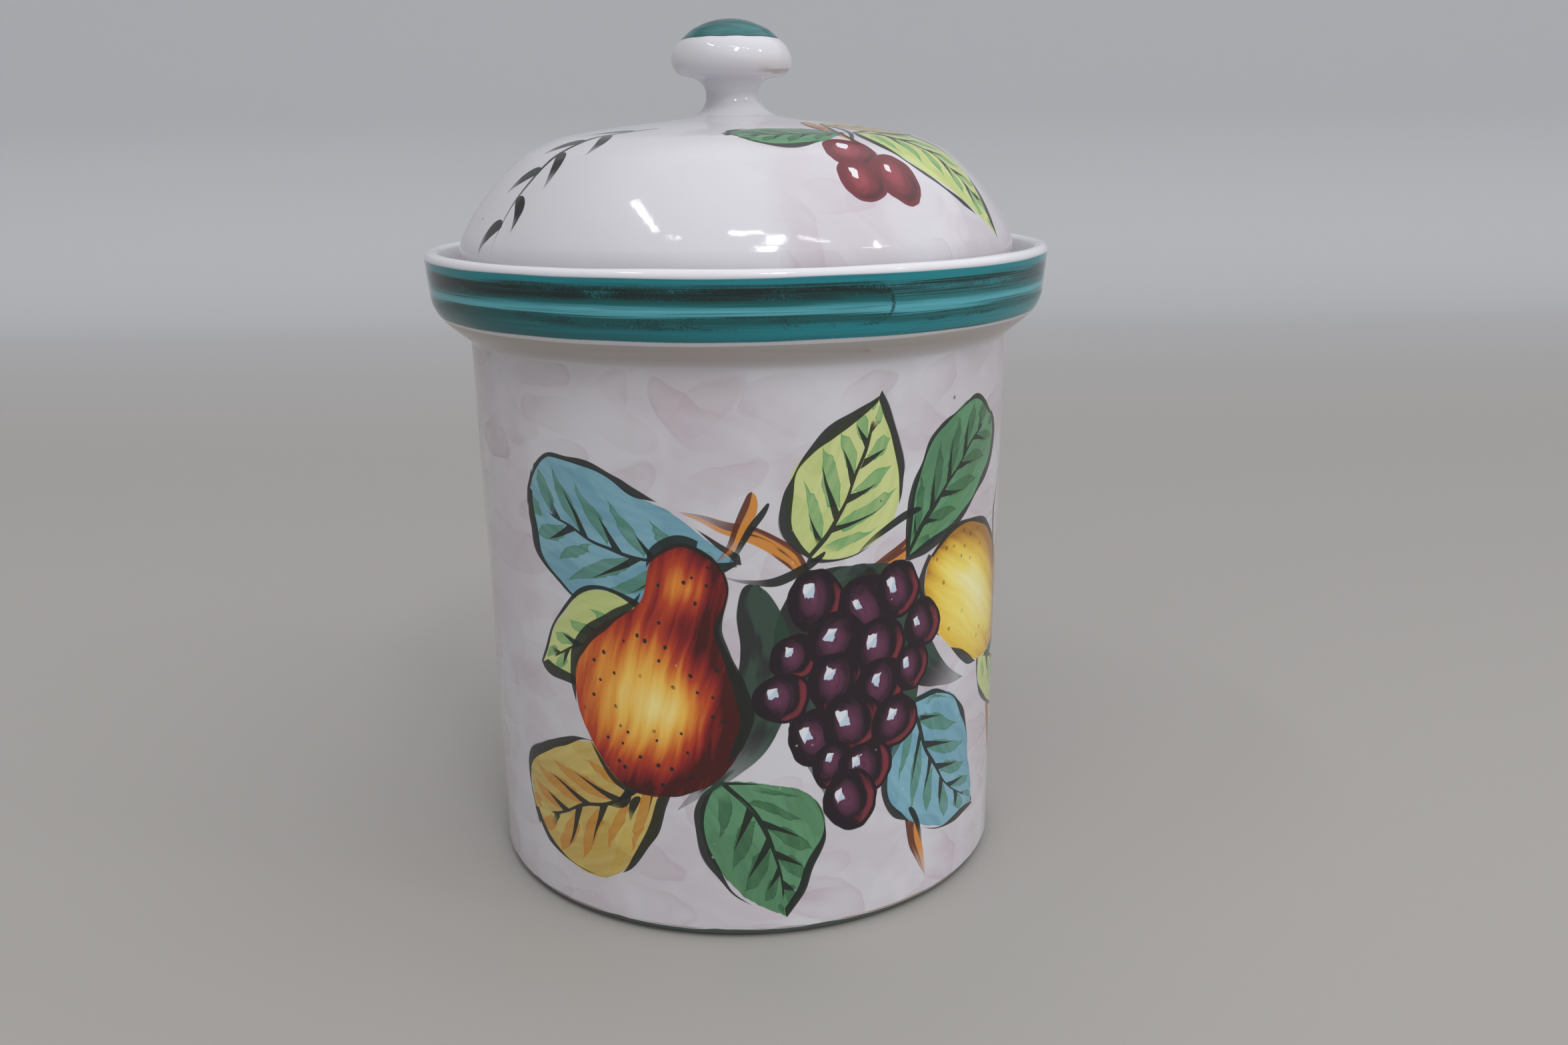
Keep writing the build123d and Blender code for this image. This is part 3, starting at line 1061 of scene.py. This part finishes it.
def paint_bands(n, given):
    """Teal bands round the collar, with wheel streaks and the hook where the brush was lifted."""
    x, y, z = n.separate(given.spot)
    wander = n.drift(x * 0.02, y * 0.02)
    fine = n.drift(x * 0.020, y * 0.020, z * 2.2, detail=3)
    broad = n.drift(x * 0.012, y * 0.012, z * 0.55)
    clump = n.drift(x * 0.055, y * 0.055, z * 0.30, detail=2)
    grain = n.noise(given.spot, 1.4, detail=2)
    round_pot = (n.math("ARCTAN2", x, y * -1) - hook_angle) * (lip_radius / mm)
    height = (z * -1 + band_top + (wander - 0.5) * 0.9) / band_width
    bow = height * 2.4 - 1.15
    past_hook = round_pot + bow * bow * 6.0 + (fine - 0.5) * 1.2
    lifted = n.between(height, 0.08, 0.22, 0.62, 0.80)
    second_pass = n.between(past_hook, -0.15, 0.25, 50, 130) * lifted
    level = height + (fine - 0.5) * 0.17 + (broad - 0.5) * 0.12 - n.smooth(past_hook, -6, 6) * 0.02
    rough = grain * 0.55 + fine * 0.45 + (clump - 0.5) * 0.9
    in_dark = n.between(level, 0.11, 0.16, 0.26, 0.40)
    in_green = n.between(level, 0.60, 0.64, 0.74, 0.82)
    # The lower teal line is painted darker on the pot's left side.
    left_darker = n.smooth(x + (broad - 0.5) * 80, 30, -100) * n.smooth(level, 0.60, 0.80)
    lines = n.smooth(fine, 0.54, 0.60) * n.smooth(broad, 0.35, 0.6)
    hook = n.smooth(abs(past_hook), 1.0, 0.2) * n.between(height, 0.16, 0.26, 0.58, 0.74)
    puddle = n.between(past_hook, -16, -3, -0.2, 0.4) * n.smooth(abs(height - 0.22), 0.12, 0.05)
    pooled = hook * n.smooth(grain, 0.34, 0.50) + puddle * n.smooth(rough, 0.38, 0.52)
    bands = n.ramp(level, band_stops)
    for paint, share in (
        ((0.002, 0.014, 0.014), in_dark * n.smooth(rough, 0.47, 0.56) * 0.92),
        ((0.006, 0.150, 0.165), in_dark * n.smooth(rough, 0.40, 0.32) * 0.75),
        ((0.003, 0.038, 0.038), in_green * n.smooth(rough, 0.50, 0.60) * 0.8),
        ((0.004, 0.070, 0.075), left_darker * 0.75),
        ((0.004, 0.070, 0.075), lines * 0.55),
        ((0.060, 0.330, 0.370), second_pass * n.smooth(fine, 0.60, 0.42) * 0.30),
        ((0.001, 0.018, 0.018), n.clamp(pooled) * 0.80),
    ):
        bands = n.mix(bands, paint, share)
    inside = n.smooth(height, -0.012, 0.012) * n.smooth(height + (grain - 0.5) * 0.012, 1.012, 0.988)
    picture = n.mix(white_glaze, bands, inside)
    return {"picture": picture}


wheel_bands = build_group("wheel bands", paint_bands, spot="place")

# %% [markdown]
# The knob's head got one cap of the teal, brushed on while it turned, with an uneven lower edge and
# two dark smudges where the brush dwelt. The height in space, shifted by slow noise, gives the
# edge, and noise that is stretched round the knob gives the strokes.

# %% The knob's cap
cap_line = knob_cap_edge / mm + 3.2
brown_mark_line = knob_head_bottom / mm + 0.6


def paint_cap(n, given):
    """A teal cap on the knob's head: a darker lower edge, brush streaks and two dark smudges."""
    x, y, z = n.separate(given.spot)
    wander = n.drift(x * 0.08, y * 0.08)
    above = z - cap_line + (wander - 0.5) * 1.1
    streak = n.drift(x * 0.10, y * 0.10, z * 0.9, detail=2)
    cap = n.mix((0.008, 0.145, 0.150), (0.004, 0.095, 0.097), n.smooth(streak, 0.35, 0.7))
    cap = n.mix(cap, (0.003, 0.065, 0.066), n.smooth(above, 1.0, 0.2) * 0.8)
    for middle_x, middle_y, reach in ((-7.5, -6, 5.0), (-1, -5, 3.6)):
        off_x = x - middle_x
        off_y = (y - middle_y) * 1.6
        off_smudge = (off_x * off_x + off_y * off_y) ** 0.5 + (streak - 0.5) * 8
        smudge = n.smooth(off_smudge, reach, reach - 2.5)
        cap = n.mix(cap, (0.003, 0.025, 0.027), smudge * 0.80)
    picture = n.mix(white_glaze, cap, n.smooth(above, -0.08, 0.12))
    # A brownish band just under the head, on its right front side only.
    off_brown_mark = abs(z - brown_mark_line + (streak - 0.5) * 2)
    brown_mark = n.smooth(x, 6, 13) * n.smooth(y, 6, -4) * n.smooth(off_brown_mark, 1.4, 0.3)
    picture = n.mix(picture, (0.30, 0.22, 0.15), brown_mark * 0.55)
    return {"picture": picture}


knob_cap_paint = build_group("knob cap", paint_cap, spot="place")

# %% [markdown]
# A glaze is never perfectly clean or flat. One group serves every glazed surface: a very shallow
# orange peel, a few pinholes, and specks of iron that came through the white. It hands out a
# height for the Bump node, a roughness, and masks for the specks, and each material sets the rest.


# %% The skin of the glaze
def scatter(n, spot, spacing, size, rarity):
    """Round dots in space, one in each cell that wins its chance."""
    in_cells = n.vector("DIVIDE", spot, (spacing,) * 3)
    off_dot, _, luck, size_luck = n.cells(in_cells, dimensions="3D")
    edge = (size_luck * 0.7 + 0.3) * (size / spacing)
    return n.smooth(off_dot - edge, 0.012, -0.012) * n.smooth(luck, rarity, rarity + 0.01)


def glaze_surface(n, given):
    """Height, roughness and speck masks of a glossy hand-dipped glaze."""
    spot = given.spot
    peel = n.noise(spot, 0.16)
    ripple = n.noise(spot, 0.7)
    pinhole = scatter(n, spot, spacing=5.5, size=0.55, rarity=0.72)
    elsewhere = n.vector("ADD", spot, (71, 13, 29))
    speck = scatter(n, elsewhere, spacing=13, size=0.75, rarity=0.86)
    height = peel * 0.42 + ripple * 0.08
    roughness = ripple * 0.03 + 0.06 + pinhole * 0.2
    return {"height": height, "roughness": roughness, "pinhole": pinhole, "speck": speck}


glaze_skin = build_group("glaze skin", glaze_surface, gives="number", spot="place")


# %% Mix the glazes
def new_material(name):
    """A material, its nodes, and the places on its piece in millimetres."""
    material = bpy.data.materials.new(name)
    material.use_nodes = True
    n = Nodes(material.node_tree)
    print("mixing", name)
    return material, n, n.vector("MULTIPLY", n.coordinates("Object"), (1 / mm,) * 3)


def coat(n, colour, roughness, height, strength):
    """Plug a surface into the material's Principled shader, with its height as bumps."""
    bump = n.add("Bump", {"Strength": strength, "Distance": 0.25 * mm, "Height": height})[0]
    shader = n.tree.nodes["Principled BSDF"]
    for name, value in {"Base Color": colour, "Roughness": roughness, "Normal": bump}.items():
        plug(n.tree, value, shader.inputs[name])
    return shader


def glazed(name, picture_group):
    """A glossy glaze over a painted group, or over plain white."""
    material, n, spot = new_material(name)
    colour = n.group(picture_group, spot=spot)[0]
    height, roughness, pinhole, speck = n.group(glaze_skin, spot=spot)
    colour = n.mix(colour, (0.62, 0.60, 0.60), pinhole * 0.35)
    colour = n.mix(colour, (0.16, 0.09, 0.06), speck * 0.75)
    coat(n, colour, roughness, height, 0.55).inputs["IOR"].default_value = 1.52
    return material


# The lip's white holds painted light and the white under the collar holds painted shade, each beside a
# real thicker or thinner glaze.
lip_white_painted_light = (0.72, 0.715, 0.755)
thin_glaze_painted_shade = (0.45, 0.41, 0.39)


def paint_plain(n, given):
    """Bare white glaze, with painted light on the rolled lip besides its thicker glaze, and painted
    shade under the collar besides its thin warm glaze.
    """
    _, _, z = n.separate(given.spot)
    patch = n.noise(given.spot, 0.02, detail=2)
    picture = n.mix(white_glaze, (0.61, 0.59, 0.61), n.smooth(patch, 0.4, 0.7))
    # Painted light: the lip is made lighter, partly for its thicker glaze.
    picture = n.mix(picture, lip_white_painted_light, n.smooth(z, lip_height / mm - 5, lip_height / mm - 2))
    # Painted shade: darker and warmer under the collar's overhang, partly thin glaze over the clay.
    under_collar_shade = n.smooth(z, collar_root[1] / mm - 1, collar_root[1] / mm + 4)
    under_collar_shade = under_collar_shade * n.smooth(z, band_top - band_width + 1, band_top - band_width - 0.5)
    picture = n.mix(picture, thin_glaze_painted_shade, under_collar_shade)
    return {"picture": picture}


plain_white = build_group("plain white", paint_plain, spot="place")
pictures = {
    "wall_glaze": wall_picture,
    "bare_wall_glaze": bare_wall_picture,
    "collar_glaze": wheel_bands,
    "plain_glaze": plain_white,
    "dome_glaze": lid_picture,
    "cap_glaze": knob_cap_paint,
}
glazes = {name: glazed(name, picture) for name, picture in pictures.items()}

# %% [markdown]
# Glaze would fuse a pot to the kiln shelf, so it is wiped off where the pot and its lid stand in
# the firing. There the buff clay shows: matt, grainy, and stained in patches.


# %% The bare clay
def make_clay():
    """Bare clay for the foot ring and the edge of the lid's flange."""
    material, n, spot = new_material("bare_clay")
    grain = n.noise(spot, 1.6, detail=3)
    patch = n.noise(spot, 0.06, detail=2)
    colour = n.mix((0.50, 0.36, 0.23), (0.36, 0.22, 0.13), n.smooth(patch, 0.35, 0.7))
    colour = n.mix(colour, (0.16, 0.09, 0.05), n.smooth(grain, 0.62, 0.75) * 0.5)
    coat(n, colour, grain * 0.15 + 0.72, grain, 0.6)
    return material


glazes["bare_clay"] = make_clay()

# %% [markdown]
# Which finish a face wears follows from where it lies on the turned form. Faces are picked in edit
# mode by their distance from the axis, their height, and whether they face out of the pot.


# %% Dress the pieces
def face_spot(face):
    """Where a face lies on its pot, and whether it faces out."""
    middle = face.calc_center_median()
    radius = hypot(middle.x, middle.y)
    outward = (middle.x * face.normal.x + middle.y * face.normal.y) / radius + face.normal.z
    angle = atan2(middle.x, -middle.y)
    return SimpleNamespace(radius=radius, height=middle.z, angle=angle, outside=outward > 0)


def dress(piece, glaze, places):
    """Coat the whole piece with one glaze, then give the faces of some places their own."""
    pick(piece)
    piece.data.materials.append(glazes[glaze])
    bpy.ops.object.mode_set(mode="EDIT")
    bpy.ops.mesh.select_mode(type="FACE")
    for slot, (name, fits) in enumerate(places.items(), start=1):
        piece.data.materials.append(glazes[name])
        bpy.ops.mesh.select_all(action="DESELECT")
        for face in bmesh.from_edit_mesh(piece.data).faces:
            face.select = fits(face_spot(face))
        piece.active_material_index = slot
        bpy.ops.object.material_slot_assign()
    bpy.ops.mesh.select_mode(type="VERT")
    bpy.ops.object.mode_set(mode="OBJECT")
    print(piece.name, "wears", glaze, "and", list(places))


painted_from = radians(-66)
painted_to = radians(112)


def on_wall(spot):
    return spot.radius > foot_outer_radius + 1 * mm and spot.height < collar_root[1]


def on_painted_wall(spot):
    return on_wall(spot) and painted_from < spot.angle < painted_to


def on_collar(spot):
    low = (band_top - band_width - 1.5) * mm
    high = (band_top + 0.6) * mm
    return spot.outside and spot.radius > lip_inner_radius and low < spot.height < high


def on_foot_ring(spot):
    return spot.height < 0.3 * mm


def on_dome(spot):
    return spot.outside and spot.height > ledge_height


def on_flange_edge(spot):
    return spot.height < gallery_height - flange_depth + 0.5 * mm


jar_places = {
    "bare_wall_glaze": on_wall,
    "wall_glaze": on_painted_wall,
    "collar_glaze": on_collar,
    "bare_clay": on_foot_ring,
}
dress(jar, "plain_glaze", jar_places)
dress(lid, "plain_glaze", {"dome_glaze": on_dome, "bare_clay": on_flange_edge})
dress(knob, "cap_glaze", {})

# %% [markdown]
# Each shell takes the place of one body of the frame and moves with it.

# %% Put the shells on the frame
for piece, body, node, slot in (
    (jar, "jar", "jar", "jar_glaze"),
    (lid, "lid", "lid", "lid_glaze"),
    (knob, "lid", "lid_knob", "knob_glaze"),
):
    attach(piece, body)
    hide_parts(node)
    print(piece.name, "rides on", body, "and stands for", node)

# %% [markdown]
# A plain sweep of pale board stands under and behind the pot: one plane whose back edge is pulled
# up, with a wide bevel along the fold, so that no horizon line cuts through the picture.

# %% Build the studio sweep
sweep_size = 12
sweep_back = 1.8
sweep_height = 1.8
fold_round = 0.3
bpy.ops.object.select_all(action="DESELECT")
bpy.ops.mesh.primitive_plane_add(size=sweep_size, location=(0, sweep_back - sweep_size / 2, 0))
sweep = bpy.context.object
sweep.name = "studio_sweep"
bpy.ops.object.transform_apply(location=True, rotation=True, scale=True)
bpy.ops.object.mode_set(mode="EDIT")
bpy.ops.mesh.select_mode(type="EDGE")
bpy.ops.mesh.select_all(action="DESELECT")
for edge in bmesh.from_edit_mesh(sweep.data).edges:
    edge.select = all(point.co.y > sweep_back - mm for point in edge.verts)
bpy.ops.mesh.extrude_region_move(TRANSFORM_OT_translate={"value": (0, 0, sweep_height)})
bpy.ops.mesh.select_all(action="DESELECT")
for edge in bmesh.from_edit_mesh(sweep.data).edges:
    edge.select = all(point.co.y > sweep_back - mm and point.co.z < mm for point in edge.verts)
bpy.ops.mesh.bevel(offset=fold_round, segments=20, affect="EDGES")
bpy.ops.mesh.select_mode(type="VERT")
bpy.ops.object.mode_set(mode="OBJECT")
bpy.ops.object.shade_smooth_by_angle(angle=edge_angle)
print("the sweep rises", sweep_back, "m behind the pot")

# %% Paint the sweep
floor_paint = (0.37, 0.355, 0.335)
wall_paint = (0.58, 0.595, 0.62)
sweep_paint, n, spot = new_material("sweep_paint")
_, depth, height = n.separate(spot)
# Floor and wall have their own paints, and the blend also holds painted light: the board grows lighter
# towards the back and up the wall.
board_with_painted_light = n.mix(floor_paint, wall_paint, n.smooth(depth + height, 500, 2400))
shader = sweep_paint.node_tree.nodes["Principled BSDF"]
plug(n.tree, board_with_painted_light, shader.inputs["Base Color"])
shader.inputs["Roughness"].default_value = 0.8
sweep.data.materials.append(sweep_paint)

# %% [markdown]
# The camera stands where the photographer held it. Its lens, height, pitch and roll were fitted to
# the outlines of the pot, so that the render can be laid over the photograph.

# %% Camera
camera_place = (0, -530.88 * mm, 265.72 * mm)
camera_pitch = radians(15.1729)
camera_yaw = radians(1.7074)
camera_roll = radians(-0.67726)
camera_lens = 32.805
film_width = 36
bpy.ops.object.camera_add(location=camera_place)
camera = bpy.context.object
camera.data.lens = camera_lens
camera.data.sensor_width = film_width
turn = Euler((pi / 2 - camera_pitch, 0, -camera_yaw)).to_matrix()
camera.rotation_euler = (turn @ Matrix.Rotation(camera_roll, 3, "Z")).to_euler()
bpy.context.scene.camera = camera
print("a lens of", camera_lens, "mm looks down by", round(camera_pitch, 3), "rad")

# %% [markdown]
# The room gives nearly all the light. It is brightest overhead and in front, where the windows are,
# a little brighter on the right than on the left, and dim along the horizon, so that dark paint
# stays dark. One number per direction says how far it points to the light, and a ramp gives its
# brightness, so nothing in the room has an edge that the gloss would mirror.

# %% The room
world = bpy.data.worlds.new("soft room")
bpy.context.scene.world = world
world.use_nodes = True
n = Nodes(world.node_tree)
rightward, backward, upward = n.separate(n.coordinates("Generated"))
to_light = upward * 0.79 + rightward * 0.40 - backward * 0.33
room_light = (
    (0.00, (0.20, 0.195, 0.19)),
    (0.26, (0.37, 0.37, 0.375)),
    (0.52, (0.93, 0.93, 0.955)),
    (0.80, (1.11, 1.11, 1.145)),
)
plug(n.tree, n.ramp(to_light, room_light), world.node_tree.nodes["Background"].inputs["Color"])
bpy.context.scene.view_settings.view_transform = "Standard"
print("the room is lit in", len(room_light), "steps")

# %% [markdown]
# Glossy glaze needs something small and bright to mirror, so narrow lamps hang under the ceiling,
# each placed where its glint falls on the shoulder of the dome. They are too small to cast a
# shadow that shows.


# %% Lamps
lamp_height = 1.6
lamp_radiance = 14


def hang_lamp(name, place, width, length, turned):
    """A rectangular lamp that faces down. All lamps are equally bright for their size."""
    bpy.ops.object.light_add(type="AREA", location=(*place, lamp_height), rotation=(0, 0, turned))
    lamp = bpy.context.object
    lamp.name = name
    lamp.data.shape = "RECTANGLE"
    lamp.data.size = width
    lamp.data.size_y = length
    lamp.data.energy = lamp_radiance * width * length * pi
    print(name, "gives", round(lamp.data.energy, 2), "W")


hang_lamp("left tube", (-0.745, -0.46), 0.07, 0.55, 0.04)
hang_lamp("left spot", (-0.64, -0.90), 0.03, 0.07, 0)
hang_lamp("left second spot", (-0.56, -0.93), 0.05, 0.06, 0)
hang_lamp("middle tube", (0.10, -0.94), 0.32, 0.05, 0)
hang_lamp("near pane", (0.40, -1.06), 0.20, 0.22, 0)
hang_lamp("far pane", (0.37, -1.46), 0.25, 0.46, 0.1)
hang_lamp("right tube", (0.78, -0.945), 0.34, 0.035, 0.05)
hang_lamp("crossed lamp", (1.75, -0.80), 0.08, 0.62, 0.9)
hang_lamp("crossing lamp", (1.78, -0.84), 0.06, 0.50, -0.6)
